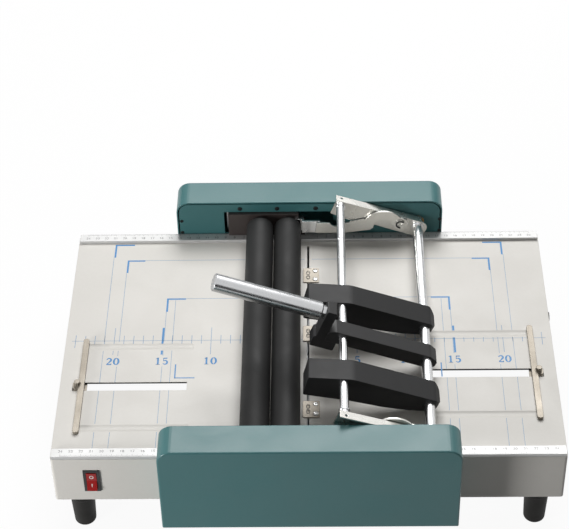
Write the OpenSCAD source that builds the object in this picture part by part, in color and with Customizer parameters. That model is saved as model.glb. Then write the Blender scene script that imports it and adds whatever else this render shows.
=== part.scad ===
// Saddle stapling and paper folding machine for the desk: a printed feed table, a
// flip-over stapling frame, a folding blade in the table and two motor-driven rollers.
// Lengths are in millimetres. X runs along the table, Y to the back, Z up from the floor,
// and x = 0 is the line where the paper is stapled and folded.

/* [Table] */
// Width of the feed table
table_w = 500; // [460:10:600]
// Depth of the feed table
table_d = 328; // [320:4:360]
// Height of the sheet metal box below the table surface
box_h = 58; // [57:1:75]
// Thickness of the box's sheet metal top
top_t = 2; // [1.5:0.5:3]
// Thickness of the box's sheet metal walls and bottom
wall_t = 1.5; // [1:0.25:2]
// Radius of the box's upright corners
box_corner_r = 3; // [1:1:6]
// Width of a ruler strip
ruler_w = 11.6; // [8:0.2:14]
// Thickness of a ruler strip
ruler_t = 3.5; // [2:0.5:3.5]

/* [Feet] */
// Height of a rubber foot
foot_h = 49; // [30:1:60]
// Diameter of a foot below its collar
foot_top_d = 24.4; // [20:0.2:30]
// Diameter of a foot at the floor
foot_base_d = 21.6; // [18:0.2:24]
// Distance of a foot's centre from the box's side
foot_inset_x = 24; // [18:0.5:40]
// Distance of a foot's centre from the box's front or back
foot_inset_y = 18; // [16:1:30]

/* [Side covers] */
// Width of a side cover
cover_w = 288; // [288:2:320]
// Distance of a cover's middle from the folding line
cover_mid_x = 1.5; // [0:0.5:4]
// Depth of a side cover
cover_d = 35; // [32:1:45]
// Height of a cover above the table surface
cover_rise = 46.8; // [46.8:0.2:60]
// How far a cover hangs below the box
cover_drop = 3; // [0:0.5:8]
// Radius of a cover's upper corners
cover_corner_r = 14; // [8:1:20]
// Radius of a cover's outer edges
cover_edge_r = 1.5; // [1:0.5:4]
// Wall thickness of a cover
cover_t = 1.5; // [1:0.25:2]
// Thickness of a side plate behind a cover
plate_t = 2; // [1.5:0.25:2.5]

/* [Rollers] */
// Diameter of a folding roller
roller_d = 29; // [26:0.5:29.5]
// Distance of a rubber sleeve's end from the table's front or back
roller_end = 9; // [7:0.5:19]
// Diameter of a roller's steel core
roller_core_d = 20; // [14:1:22]
// Diameter of a roller's journals
journal_d = 10; // [8:0.5:11]
// Height of the roller axes above the table surface
roller_axis_z = 18.4; // [18.4:0.1:19]
// Distance that the rollers travel to reach the folding line
roller_travel = 37; // [30:0.5:37]

/* [Drive] */
// Module of the gears
gear_module = 1.25; // [1.25:0.25:1.25]
// Number of teeth of a roller gear
roller_teeth = 24; // [24:1:24]
// Number of teeth of the idler gear
idler_teeth = 36; // [32:1:38]
// Number of teeth of the motor pinion
pinion_teeth = 16; // [14:1:18]
// Face width of a gear
gear_w = 7.5; // [5:0.5:9]
// Diameter of the motor
motor_d = 48; // [40:1:48]
// Length of the motor
motor_len = 66; // [40:1:80]

/* [Stapling frame] */
// Distance of the pivot rod from the folding line
pivot_x = 118.5; // [116:0.5:122]
// Height of the pivot rod above the table surface
pivot_z = 18.5; // [18:0.5:22]
// Distance between the pivot rod and the stapler rod
rod_pitch = 89.4; // [86:0.2:92]
// Angle of the frame above the table at rest
rest_tilt = 21; // [18:0.5:26]
// Diameter of the pivot rod
pivot_rod_d = 11; // [9:0.5:12]
// Diameter of the stapler rod
stapler_rod_d = 9; // [7:0.5:10]
// Distance of the link pin from the pivot rod
crank_r = 20; // [19:0.5:21]
// Thickness of the frame's side brackets
bracket_t = 2; // [1.5:0.25:2]
// Thickness of the pull links
link_t = 2; // [1.5:0.25:2]

/* [Staplers] */
// Width of a stapler
stapler_w = 27; // [24:0.5:32]
// Position of the front stapler and its anvil
front_station_y = -99.5; // [-105:0.5:-92]
// Position of the middle anvil
middle_station_y = 8; // [0:0.5:14]
// Position of the rear anvil
rear_station_y = 97.1; // [90:0.1:104]
// Width of an anvil plate
anvil_w = 17; // [14:0.5:20]
// Depth of an anvil plate
anvil_d = 22; // [16:0.5:26]

/* [Handle] */
// Diameter of the handle tube
handle_d = 18; // [12:0.5:20]
// Length of the handle tube
handle_len = 112; // [80:1:150]
// Width of the handle's arm
arm_w = 18; // [14:1:22]
// Position of the handle's arm
arm_y = -43; // [-50:1:-36]

/* [Folding blade] */
// Thickness of the folding blade
blade_t = 1.2; // [0.8:0.1:1.6]
// Height that the raised blade's edge reaches above the table surface
blade_peak = 12; // [8:0.5:12]
// What the blade's lift leaves free of the box's height
blade_room = 19; // [19:0.5:26]
// Distance of the slot's end from the table's front or back
slot_end = 19; // [16:1:34]

/* [Paper stops] */
// Position of the left stop's slot
left_stop_y = -65.5; // [-75:0.5:-60]
// Position of the right stop's slot
right_stop_y = -50; // [-75:0.5:-40]
// Length of a stop bar
stop_len = 131; // [120:1:140]
// Distance of a stop's screw from the table's side at rest
stop_end = 18; // [18:1:25]
// Distance that a stop slides inwards
stop_travel = 105; // [60:1:105]
// Distance of a stop's guide grooves from its slot
groove_reach = 57; // [50:1:60]
// Width of a guide groove
groove_w = 8.5; // [6:0.5:10]

/* [Switch and inlet] */
// Distance of the power switch from the table's left side
switch_end = 38.5; // [30:0.5:80]
// Height of the switch's middle below the table surface
switch_drop = 29.5; // [26:0.5:32]
// Position of the cord inlet along the right side
inlet_y = 60; // [-60:1:120]

/* [Hidden] */
$fn = 64;

// Clearances
run = 0.05;    // of a shaft in its bore, on the radius
play = 0.3;    // beside a sliding piece
seam = 1.2;    // between a cover and its side plate
eps = 1;       // what a cut runs past a face

// Hatches in the base plate, each from hatch_near to hatch_near + hatch_w on its side,
// and the vents below the motor
hatch_near = 124;
hatch_w = table_w / 2 - 10 - hatch_near;
hatch_y = table_d / 2 - 64;
vent_from = -table_d / 2 + 29;
vent_to = vent_from + 50;

// Collar round a foot's top
foot_collar = 0.6;
foot_collar_h = 11;

// Heights
deck_z = foot_h + box_h;
box_floor = -box_h + wall_t;
blade_rise = box_h - blade_room;
blade_depth = blade_rise - blade_peak;

// Layers outwards from the table's middle, the same at the front and the back
wall_y = table_d / 2;
plate_y = wall_y;
plate_out = plate_y + plate_t;
ruler_y = wall_y - 0.4;
web_y = wall_y - 10;
web_out = web_y + bracket_t;
flange_out = wall_y - 1;
link_out = web_y - 1;
link_y = link_out - link_t;
block_y = wall_y - 4;
carrier_plate_y = wall_y + 6;
carrier_plate_t = 3;
carrier_plate_out = carrier_plate_y + carrier_plate_t;
gear_y = carrier_plate_out + 2.5;
gear_out = gear_y + gear_w;
cover_out = wall_y + cover_d;
roller_len = 2 * (wall_y - roller_end);
slot_reach = wall_y - slot_end;

// Places along the table
stop_rest_x = table_w / 2 - stop_end;
switch_x = -table_w / 2 + switch_end;

// Side covers
cover_left = cover_mid_x - cover_w / 2;
cover_right = cover_mid_x + cover_w / 2;
plate_top = cover_rise - cover_t - seam;

// Rollers, the nip between them and the gears
roller_pitch = gear_module * roller_teeth;
nip_x = -roller_travel;
roller_left_x = nip_x - roller_pitch / 2;
roller_right_x = nip_x + roller_pitch / 2;

// Angle that the frame flips through to bring the nip over the folding line, and the
// small angle that it goes down to staple
flip_angle = 180 - rest_tilt - acos(roller_travel / crank_r - cos(rest_tilt));
press_angle = 15;
carriage_back = roller_travel * press_angle / flip_angle;
blade_dip = blade_rise * press_angle / flip_angle;

// Slide blocks and their opening in the side plates
block_right = -3.3;
block_left = roller_left_x - 34.3;
block_low = ruler_t + 0.5;
block_top = roller_axis_z + 14.6;
block_step = [7, 13];
opening_left = block_left - carriage_back - 0.6;
opening_right = block_right + roller_travel + 1;

// Guide rails above the opening
rail_low = block_top + 2;
rail_h = 6;
rail_t = 3;
rail_left = -100;
rail_right = 62;

// Carriage plates
carriage_low = box_floor + 0.5;
carriage_right = 10;
carriage_edge = block_right - 1.5;
carriage_left_rear = block_left - 2;
lip_xs = [block_left + 4, roller_right_x - 9];
lip_top = rail_low + rail_h + 3;
motor_x = -92;
motor_z = -28;
gearbox_d = 36;
gearbox_len = 18;
motor_shaft_d = 8;
carriage_left_front = motor_x - gearbox_d / 2 - 4;
tie_x = -57;
tie_z = -40;
tie_d = 10;

// Gear train from the pinion over the idler to the left roller
idler_reach = gear_module * (roller_teeth + idler_teeth) / 2;
pinion_reach = gear_module * (pinion_teeth + idler_teeth) / 2;
train_run = [roller_left_x - motor_x, roller_axis_z - motor_z];
train_len = norm(train_run);
train_dir = train_run / train_len;
idler_along = (pow(pinion_reach, 2) - pow(idler_reach, 2) + pow(train_len, 2)) / (2 * train_len);
idler_across = sqrt(pow(pinion_reach, 2) - pow(idler_along, 2));
idler_x = motor_x + train_dir.x * idler_along + train_dir.y * idler_across;
idler_z = motor_z + train_dir.y * idler_along - train_dir.x * idler_across;
axle_d = 8;

// Folding blade, its carrier and the pins that the cam slots lift
slot_w = blade_t + 1;
tooth_h = blade_rise - blade_depth + top_t + 1.5;
carrier_top = -blade_depth - tooth_h;
carrier_h = 9;
carrier_w = 10;
carrier_low = carrier_top - carrier_h;
carrier_reach = slot_reach + 5;
pin_d = 5;
pin_z = carrier_low + carrier_h / 2;
pin_out = carrier_plate_out + 1.5;

// Stations of the staplers
stations = [front_station_y, middle_station_y, rear_station_y];
station_gap = 0.5;
anvil_left = -5.4;
anvil_t = 1.2;

// Pull links, in the table's own axes
link_pin = [pivot_x - crank_r * cos(rest_tilt), pivot_z + crank_r * sin(rest_tilt)];
link_pin_d = 7;
link_low = 14;
link_top = 27.5;
link_left = 9.5;
link_bend = 40;
link_rise = 14;
arch_x = pivot_x - roller_travel;
arch_z = pivot_z + 1.5;
arch_in = pivot_rod_d / 2 + 5.5;
arch_out = arch_in + 12;
notch_r = 8.7;
notch_x = pivot_x - rod_pitch * cos(rest_tilt) - 3.5;

// Link lugs, folded from sheet
lug_t = 2.5;
lug_left = -14;
lug_fold = -6.5;
lug_tip = 13;
lug_y = web_y - 0.6;

// Frame, in its own axes: x = 0 on the pivot rod, -x towards the staplers
web_top = 8;
web_top_left = 4.7;
web_low = -13;
leg_low = -14.2;
frame_left = -rod_pitch - 6.2;
frame_right = 10.2;
flange_right = 2;
flange_t = 0.75 * bracket_t;
rod_end_d = 6;
stapler_top = 8;
head_x = -rod_pitch - 35;
head_top = -4.4;
nose_low = -28;
magazine_w = 15.4;
magazine_left = -rod_pitch - 29.6;
magazine_right = -62;
magazine_top = -13.5;
magazine_low = nose_low - 0.5;
magazine_bend = -76;
magazine_bend_low = -20.8;
magazine_heel = -19;
arm_end = -rod_pitch - 16.6;
arm_top = 7.5;
arm_low = -8;
arm_nose = 10.5;
arm_step = 7;
handle_w = 20.7;
upright_t = 10;
upright_left = arm_end - upright_t;
upright_top = handle_w + 8.3;
foot_right = arm_end + 12.5;
foot_low = -19;
stud_d = 8;
nut_across = 14.5;
nut_h = 4;

// Rocker of the switch
rocker_depth = 1.5;
rocker_pin_d = 2.4;
rocker_swing = 16;

// Paper stops, upwards from the table surface
stop_gap = 0.3;
pad_top = 2.3;
bar_top = 3.6;
knob_d = 6;

// Colours
teal = [0.30, 0.47, 0.46];
light_grey = [0.86, 0.85, 0.82];
steel = [0.72, 0.73, 0.74];
bright = [0.85, 0.86, 0.87];
black = [0.13, 0.13, 0.14];
dark = [0.25, 0.25, 0.26];

// Corner b of an outline, rounded between its neighbours a and c
function corner(a, b, c, r, steps) =
    let (u = (a - b) / norm(a - b), v = (c - b) / norm(c - b))
    let (half = acos(u * v) / 2)
    let (centre = b + (u + v) / norm(u + v) * r / sin(half))
    let (p = b + u * r / tan(half) - centre, q = b + v * r / tan(half) - centre)
    let (start = atan2(p.y, p.x), turn = atan2(p.x * q.y - p.y * q.x, p * q))
    [for (i = [0:steps]) centre + r * [cos(start + turn * i / steps), sin(start + turn * i / steps)]];

// Outline through points, each corner rounded to its own radius, 0 for a sharp one
function rounded(points, radii, steps = 6) =
    let (n = len(points))
    [for (i = [0:n - 1])
        let (a = points[(i + n - 1) % n], b = points[i], c = points[(i + 1) % n])
        each (radii[i] > 0 ? corner(a, b, c, radii[i], steps) : [b])];

// Upright rectangle as points, counter-clockwise
function box_points(x0, x1, y0, y1) = [[x0, y0], [x1, y0], [x1, y1], [x0, y1]];

// Involute function in degrees
function involute(a) = tan(a) * 180 / PI - a;

// Half the angle of a tooth at radius r, with pitch radius p and base radius b
function tooth_half(teeth, p, b, r) =
    90 / teeth - 0.12 / p * 180 / PI + involute(20) - involute(acos(min(1, b / r)));

// Outline of a spur gear with its first tooth at angle phase, up one flank of each tooth
// and down the other
function gear_points(teeth, phase) =
    let (p = gear_module * teeth / 2, b = p * cos(20))
    let (root = p - 1.25 * gear_module, tip = p + gear_module)
    let (radii = [root, max(root + 0.2, b), p, tip])
    [for (i = [0:teeth - 1], k = [-4:3])
        let (r = radii[k < 0 ? k + 4 : 3 - k])
        let (a = phase + 360 * i / teeth + (k < 0 ? -1 : 1) * tooth_half(teeth, p, b, r))
        r * [cos(a), sin(a)]];

// Phase of a gear that meshes with another, which stands at angle phi before it
function mesh_phase(phi, phase, teeth, own_teeth) =
    phi + 180 - (phase - phi) * teeth / own_teeth + 180 / own_teeth;

idler_phi = atan2(idler_z - roller_axis_z, idler_x - roller_left_x);
idler_phase = mesh_phase(idler_phi, 0, roller_teeth, idler_teeth);
pinion_phi = atan2(motor_z - idler_z, motor_x - idler_x);
pinion_phase = mesh_phase(pinion_phi, idler_phase, idler_teeth, pinion_teeth);

module on_deck() translate([0, 0, deck_z]) children();

module on_frame() translate([pivot_x, 0, deck_z + pivot_z]) rotate([0, rest_tilt, 0]) children();

module at_front() mirror([0, 1, 0]) children();

// Outline in the XZ plane, made solid from y0 to y1
module along_y(y0, y1) translate([0, y1, 0]) rotate([90, 0, 0]) linear_extrude(y1 - y0) children();

// Outline in the YZ plane, made solid from x0 to x1
module along_x(x0, x1) translate([x0, 0, 0]) rotate([90, 0, 90]) linear_extrude(x1 - x0) children();

// Round bar along Y at (x, z)
module bar_y(x, z, d, y0, y1) along_y(y0, y1) translate([x, z]) circle(d = d);

module slab(x0, x1, y0, y1, z0, z1) translate([x0, y0, z0]) cube([x1 - x0, y1 - y0, z1 - z0]);

// Table and housing

module pan_outline(inset) {
    x = table_w / 2 - inset;
    y = table_d / 2 - inset;
    r = max(0.5, box_corner_r - inset);
    polygon(rounded(box_points(-x, x, -y, y), [r, r, r, r]));
}

module blade_slots() {
    reach = anvil_d / 2 + station_gap;
    starts = concat([-slot_reach], [for (y = stations) y + reach]);
    ends = concat([for (y = stations) y - reach], [slot_reach]);
    for (i = [0:3]) slab(-slot_w / 2, slot_w / 2, starts[i], ends[i], -top_t - eps, eps);
}

module stop_cuts(y) {
    slab(-stop_rest_x - 5, -stop_rest_x + stop_travel + 5, y - 5.75, y + 5.75, -top_t - eps, eps);
    r = (pow(groove_w / 2, 2) + pow(top_t / 2, 2)) / top_t;
    for (s = [-1, 1]) translate([-stop_rest_x + 3, y + s * groove_reach, r - top_t / 2]) rotate([0, 90, 0])
        cylinder(r = r, h = stop_travel + 6, $fn = 128);
}

module table_pan() color(light_grey) on_deck() difference() {
    translate([0, 0, -box_h]) linear_extrude(box_h) pan_outline(0);
    translate([0, 0, -box_h - eps]) linear_extrude(box_h - top_t + eps) pan_outline(wall_t);
    blade_slots();
    stop_cuts(left_stop_y);
    mirror([1, 0, 0]) stop_cuts(right_stop_y);
    slab(carriage_left_front - carriage_back - 3, pin_d / 2 + 5, -wall_y - eps, wall_y + eps,
         carriage_low + 1, -top_t - 2);
    translate([switch_x, -wall_y, -switch_drop]) cube([13.4, 4 * wall_t, 26.4], center = true);
    translate([table_w / 2, inlet_y, -switch_drop]) rotate([0, 90, 0])
        cylinder(d = 16.2, h = 4 * wall_t, center = true);
}

module foot_places(x, y) translate([x * (table_w / 2 - foot_inset_x), y * (table_d / 2 - foot_inset_y), 0])
    children();

// Base plate, open below the stop slots and vented below the motor
module base_plate() color(light_grey) on_deck() difference() {
    translate([0, 0, -box_h]) linear_extrude(wall_t) pan_outline(wall_t + 0.2);
    for (s = [-1, 1]) translate([s * (hatch_near + hatch_w / 2), 0, -box_h - eps])
        linear_extrude(wall_t + 2 * eps)
            polygon(rounded(box_points(-hatch_w / 2, hatch_w / 2, -hatch_y, hatch_y), [8, 8, 8, 8]));
    for (x = [-1, 1], y = [-1, 1])
        foot_places(x, y) translate([0, 0, -box_h - eps]) cylinder(d = 5.4, h = wall_t + 2 * eps);
    for (i = [0:7])
        slab(-96 + 12 * i, -92 + 12 * i, vent_from, vent_to, -box_h - eps, box_floor + eps);
}

module foot(x, y) color(black) foot_places(x, y) rotate_extrude() polygon(concat(
    [[2.7, foot_h], [2.7, 8], [6, 8], [6, 0], [foot_base_d / 2 - 3, 0]],
    [for (a = [15:15:75]) [foot_base_d / 2 - 3 + 3 * sin(a), 3 - 3 * cos(a)]],
    [[foot_base_d / 2, 3], [foot_top_d / 2, foot_h - foot_collar_h],
     [foot_top_d / 2 + foot_collar, foot_h - foot_collar_h + 0.8], [foot_top_d / 2 + foot_collar, foot_h]]));

module foot_front_left() foot(-1, -1);
module foot_front_right() foot(1, -1);
module foot_rear_left() foot(-1, 1);
module foot_rear_right() foot(1, 1);

// Side plate at the back, with the opening that the slide block runs in, the slot that
// guides the blade's pin, a window for what crosses below the table and the pivot hole
module side_plate(window_left, window_low, window_top) on_deck() difference() {
    r = cover_corner_r - cover_t - seam;
    along_y(plate_y, plate_out) polygon(rounded(
        box_points(cover_left + cover_t + seam, cover_right - cover_t - seam, box_floor + seam, plate_top),
        [0, 0, r, r]));
    along_y(plate_y - eps, plate_out + eps) {
        polygon(rounded(
            [[opening_left, ruler_t + 0.1], [opening_right, ruler_t + 0.1],
             [opening_right, block_top - block_step.y + 0.5],
             [opening_right - block_step.x, block_top - block_step.y + 0.5],
             [opening_right - block_step.x, block_top + 0.5], [opening_left, block_top + 0.5]],
            [0, 1, 1, 1, 1, 0]));
        polygon(rounded(box_points(window_left, tie_x + roller_travel + tie_d / 2 + play + 0.2,
                                   window_low, window_top), [4, 4, 4, 4]));
        polygon(rounded(box_points(-pin_d / 2 - play, pin_d / 2 + play, pin_z - blade_dip - pin_d / 2 - play,
                                   pin_z + blade_rise + pin_d / 2 + play), [2.7, 2.7, 2.7, 2.7]));
        translate([pivot_x, pivot_z]) circle(d = pivot_rod_d + 4);
        for (x = [block_left + 12.7, block_left + 52.9, block_left + 94.7])
            translate([x, rail_low + rail_h / 2]) circle(d = 3.2);
    }
}

module side_plate_front() color(teal * 0.8) at_front() side_plate(
    motor_x - carriage_back - gearbox_d / 2 - play - 0.5,
    min(motor_z - gearbox_d / 2, tie_z - tie_d / 2) - 2, motor_z + gearbox_d / 2 + 1);

module side_plate_rear() color(teal * 0.8) side_plate(
    tie_x - carriage_back - tie_d / 2 - play - 0.5, tie_z - tie_d / 2 - 1, tie_z + tie_d / 2 + 1);

module cover_outline(inset) {
    r = cover_corner_r - inset;
    low = -box_h - cover_drop;
    polygon(rounded(box_points(cover_left + inset, cover_right - inset, low + inset, cover_rise - inset),
                    [1, 1, r, r], 9));
}

// Cover at the back: a tray, open towards the table, with rounded outer edges
module cover() on_deck() difference() {
    hull() {
        along_y(wall_y, cover_out - cover_edge_r) cover_outline(0);
        for (a = [30:30:90])
            along_y(cover_out - cover_edge_r, cover_out - cover_edge_r + cover_edge_r * sin(a))
                cover_outline(cover_edge_r * (1 - cos(a)));
    }
    along_y(wall_y - eps, cover_out - cover_t) cover_outline(cover_t);
}

module cover_front() color(teal) at_front() cover();
module cover_rear() color(teal) cover();

module ruler() on_deck() along_x(-table_w / 2 + 1, table_w / 2 - 1) polygon(
    [[ruler_y - ruler_w, 0], [ruler_y, 0], [ruler_y, ruler_t - 0.4], [ruler_y - 0.4, ruler_t],
     [ruler_y - ruler_w + 0.4, ruler_t], [ruler_y - ruler_w, ruler_t - 0.4]]);

module ruler_front() color(bright) at_front() ruler();
module ruler_rear() color(bright) ruler();

// Anvil plate with the two curved pockets that close a staple's legs, and its screws
module anvil(y) color(bright) on_deck() translate([anvil_left, y, 0]) difference() {
    linear_extrude(anvil_t)
        polygon(rounded(box_points(0, anvil_w, -anvil_d / 2, anvil_d / 2), [1.5, 1.5, 1.5, 1.5]));
    for (s = [-1, 1]) {
        translate([-anvil_left, s * 3.4, anvil_t + 3]) rotate([0, 90, 0])
            cylinder(r = 3.7, h = 2.6, center = true);
        translate([anvil_w - 4, s * 6.5, -eps]) cylinder(d = 3.4, h = anvil_t + 2 * eps);
    }
}

module anvil_front() anvil(front_station_y);
module anvil_middle() anvil(middle_station_y);
module anvil_rear() anvil(rear_station_y);

module guide_rail() color(steel) on_deck()
    slab(rail_left, rail_right, plate_out, plate_out + rail_t, rail_low, rail_low + rail_h);

module guide_rail_front() at_front() guide_rail();
module guide_rail_rear() guide_rail();

// Bush of the pivot rod, with a flange outside the side plate
module pivot_bush() color([0.72, 0.58, 0.36]) on_deck() difference() {
    union() {
        bar_y(pivot_x, pivot_z, pivot_rod_d + 4, plate_y, plate_out + 3);
        bar_y(pivot_x, pivot_z, pivot_rod_d + 9, plate_out, plate_out + 2);
    }
    bar_y(pivot_x, pivot_z, pivot_rod_d + 2 * run, plate_y - eps, plate_out + 3 + eps);
}

module pivot_bush_front() at_front() pivot_bush();
module pivot_bush_rear() pivot_bush();

// Power switch in the front skirt: a bezel and a body, hollow for the rocker
module switch_housing() color(black) on_deck() translate([switch_x, -wall_y, -switch_drop]) difference() {
    union() {
        translate([-8, -1.5, -14.5]) cube([16, 1.5, 29]);
        translate([-6.5, 0, -13]) cube([13, 16, 26]);
    }
    translate([-5.3, -1.5 - eps, -11.8]) cube([10.6, 11 + eps, 23.6]);
    translate([-6.1, rocker_depth, 0]) rotate([0, 90, 0]) cylinder(d = rocker_pin_d + 2 * run, h = 12.2);
}

// Rocker of the switch, with its two faces in a shallow V about its pins, off at rest
module switch_rocker() color([0.80, 0.08, 0.07]) on_deck()
    translate([switch_x, -wall_y + rocker_depth, -switch_drop]) rotate([-rocker_swing / 2, 0, 0]) {
        along_x(-5, 5) polygon(
            [[-5.1, -11], [-2.7, 0], [-5.1, 11], [1.7, 9.6], [3.3, 3], [3.3, -3], [1.7, -9.6]]);
        along_x(-6, 6) circle(d = rocker_pin_d);
    }

// Cord inlet in the right side: a flanged gland with its bore
module cord_inlet() color(black) on_deck() translate([table_w / 2, inlet_y, -switch_drop]) rotate([0, 90, 0])
    difference() {
        union() {
            cylinder(d = 20, h = 2);
            cylinder(d = 13, h = 5);
            translate([0, 0, -12]) cylinder(d = 16, h = 12);
        }
        translate([0, 0, -12 - eps]) cylinder(d = 7, h = 17 + 2 * eps);
    }

// Roller carriage

// Slide block at the back, which carries the roller journals
module slide_block() color([0.20, 0.17, 0.16]) on_deck() difference() {
    slab(block_left, block_right, block_y, carrier_plate_y, block_low, block_top);
    slab(block_right - block_step.x, block_right + eps, block_y - eps, carrier_plate_y + eps,
         block_top - block_step.y, block_top + eps);
    for (x = [roller_left_x, roller_right_x])
        bar_y(x, roller_axis_z, journal_d + 2 * run, block_y - eps, carrier_plate_y + eps);
}

module slide_block_front() at_front() slide_block();
module slide_block_rear() slide_block();

// Cam slot that lifts the blade's pin as the carriage comes in
module cam_slot() {
    half = pin_d / 2 + play;
    low = [carriage_back, pin_z - blade_dip];
    high = [-roller_travel, pin_z + blade_rise];
    along = half * (high - low) / norm(high - low);
    across = [-along.y, along.x];
    r = half - 0.01;
    polygon(rounded(
        [low - along + across, low - along - across, high + along - across, high + along + across],
        [r, r, r, r], 8));
}

// Plate at the back that ties a slide block to its cam, with two lips over the rail
module carriage_plate(left) color(steel) on_deck() difference() {
    union() {
        along_y(carrier_plate_y, carrier_plate_out) {
            polygon(rounded(
                [[left, carriage_low + 6], [left + 14, carriage_low], [carriage_right, carriage_low],
                 [carriage_right, -22], [carriage_edge, -8],
                 [carriage_edge, block_top - block_step.y],
                 [carriage_edge - block_step.x, block_top - block_step.y],
                 [carriage_edge - block_step.x, block_top], [left, block_top]],
                [4, 6, 3, 6, 4, 1, 1, 2, 3]));
            for (x = lip_xs) translate([x, block_top - 4]) square([18, lip_top - block_top + 4]);
        }
        for (x = lip_xs)
            slab(x + 0.5, x + 17.5, plate_out + 0.6, carrier_plate_out - 0.5, lip_top - 2.7, lip_top - 0.2);
    }
    along_y(carrier_plate_y - eps, carrier_plate_out + eps) {
        cam_slot();
        for (x = [roller_left_x, roller_right_x]) translate([x, roller_axis_z]) circle(d = journal_d + 2);
    }
}

module carriage_plate_front() color(steel) at_front() difference() {
    union() {
        carriage_plate(carriage_left_front);
        on_deck() {
            bar_y(idler_x, idler_z, axle_d + 4, carrier_plate_out, gear_y - play);
            bar_y(idler_x, idler_z, axle_d, carrier_plate_out, gear_out + 2.5);
            bar_y(idler_x, idler_z, axle_d + 4, gear_out + play, gear_out + 2.5);
        }
    }
    on_deck() bar_y(motor_x, motor_z, motor_shaft_d + 8, carrier_plate_y - eps, carrier_plate_out + eps);
}

module carriage_plate_rear() carriage_plate(carriage_left_rear);

module carriage_tie() color(steel) on_deck() bar_y(tie_x, tie_z, tie_d, -carrier_plate_y, carrier_plate_y);

// Lug on a slide block, folded twice, with a tongue that the pull link's end rides before
module link_lug() color(bright) on_deck() {
    translate([0, 0, link_low - 1.5]) linear_extrude(link_top - link_low + 2) {
        polygon(box_points(lug_left, lug_fold + lug_t, block_y - lug_t, block_y));
        polygon(box_points(lug_fold, lug_fold + lug_t, lug_y, block_y));
        polygon(box_points(lug_fold, lug_tip, lug_y, lug_y + lug_t));
    }
}

module link_lug_front() at_front() link_lug();
module link_lug_rear() link_lug();

// Motor with its gearbox, bolted to the front carriage plate
module gear_motor() color(dark) at_front() on_deck() difference() {
    gearbox_y = carrier_plate_y - gearbox_len;
    union() {
        bar_y(motor_x, motor_z, motor_d, gearbox_y - motor_len, gearbox_y - 4);
        bar_y(motor_x, motor_z, motor_d - 4, gearbox_y - 4, gearbox_y);
        bar_y(motor_x, motor_z, 16, gearbox_y - motor_len - 3, gearbox_y);
        bar_y(motor_x, motor_z, gearbox_d, gearbox_y, carrier_plate_y);
    }
    bar_y(motor_x, motor_z, motor_shaft_d + 2 * run, carrier_plate_y - 8, carrier_plate_y + eps);
}

module roller_sleeve(x) color(dark) on_deck() difference() {
    bar_y(x, roller_axis_z, roller_d, -roller_len / 2, roller_len / 2);
    bar_y(x, roller_axis_z, roller_core_d, -roller_len / 2 - eps, roller_len / 2 + eps);
}

module roller_shaft(x) color(steel) on_deck() {
    bar_y(x, roller_axis_z, roller_core_d, -roller_len / 2, roller_len / 2);
    bar_y(x, roller_axis_z, journal_d + 3, -block_y + play, block_y - play);
    bar_y(x, roller_axis_z, journal_d, -gear_out - 1.5, carrier_plate_out + 1.5);
}

module gear(x, z, teeth, phase, bore) translate([x, 0, z]) difference() {
    along_y(-gear_out, -gear_y) polygon(gear_points(teeth, phase));
    bar_y(0, 0, bore, -gear_out - eps, -gear_y + eps);
}

module roller_left_sleeve() roller_sleeve(roller_left_x);
module roller_right_sleeve() roller_sleeve(roller_right_x);
module roller_left_shaft() roller_shaft(roller_left_x);
module roller_right_shaft() roller_shaft(roller_right_x);
module roller_left_gear() color(steel) on_deck()
    gear(roller_left_x, roller_axis_z, roller_teeth, 0, journal_d);
module roller_right_gear() color(steel) on_deck()
    gear(roller_right_x, roller_axis_z, roller_teeth, mesh_phase(0, 0, roller_teeth, roller_teeth),
         journal_d);
module idler_gear() color([0.85, 0.83, 0.76]) on_deck()
    gear(idler_x, idler_z, idler_teeth, idler_phase, axle_d + 2 * run);

module motor_pinion() color(steel) on_deck() {
    gear(motor_x, motor_z, pinion_teeth, pinion_phase, motor_shaft_d);
    bar_y(motor_x, motor_z, motor_shaft_d, -gear_out - 1, -carrier_plate_y + 7);
}

// Folding blade, a comb whose teeth rise between the anvils

module fold_blade() color(bright) on_deck() {
    reach = anvil_d / 2 + station_gap + 1.5;
    starts = concat([-slot_reach + 1.5], [for (y = stations) y + reach]);
    ends = concat([for (y = stations) y - reach], [slot_reach - 1.5]);
    slab(-blade_t / 2, blade_t / 2, -slot_reach, slot_reach, carrier_low + 3, carrier_top);
    for (i = [0:3]) along_x(-blade_t / 2, blade_t / 2) polygon(rounded(
        box_points(starts[i], ends[i], carrier_top - 1, -blade_depth), [0, 0, 2, 2]));
}

module blade_carrier() color(steel) on_deck() {
    difference() {
        slab(-carrier_w / 2, carrier_w / 2, -carrier_reach, carrier_reach, carrier_low, carrier_top);
        slab(-blade_t / 2, blade_t / 2, -slot_reach, slot_reach, carrier_low + 3, carrier_top + eps);
    }
    for (s = [0, 1]) mirror([0, s, 0]) bar_y(0, pin_z, pin_d, slot_reach + 0.5, pin_out);
}

// Flip-over frame

// Rod that the frame turns on, with a collar inside each bracket
module pivot_rod() color(bright) on_frame() {
    bar_y(0, 0, pivot_rod_d, -plate_out - 5, plate_out + 5);
    for (s = [0, 1]) mirror([0, s, 0]) bar_y(0, 0, pivot_rod_d + 2, web_y - 0.7, web_y);
}

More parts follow.
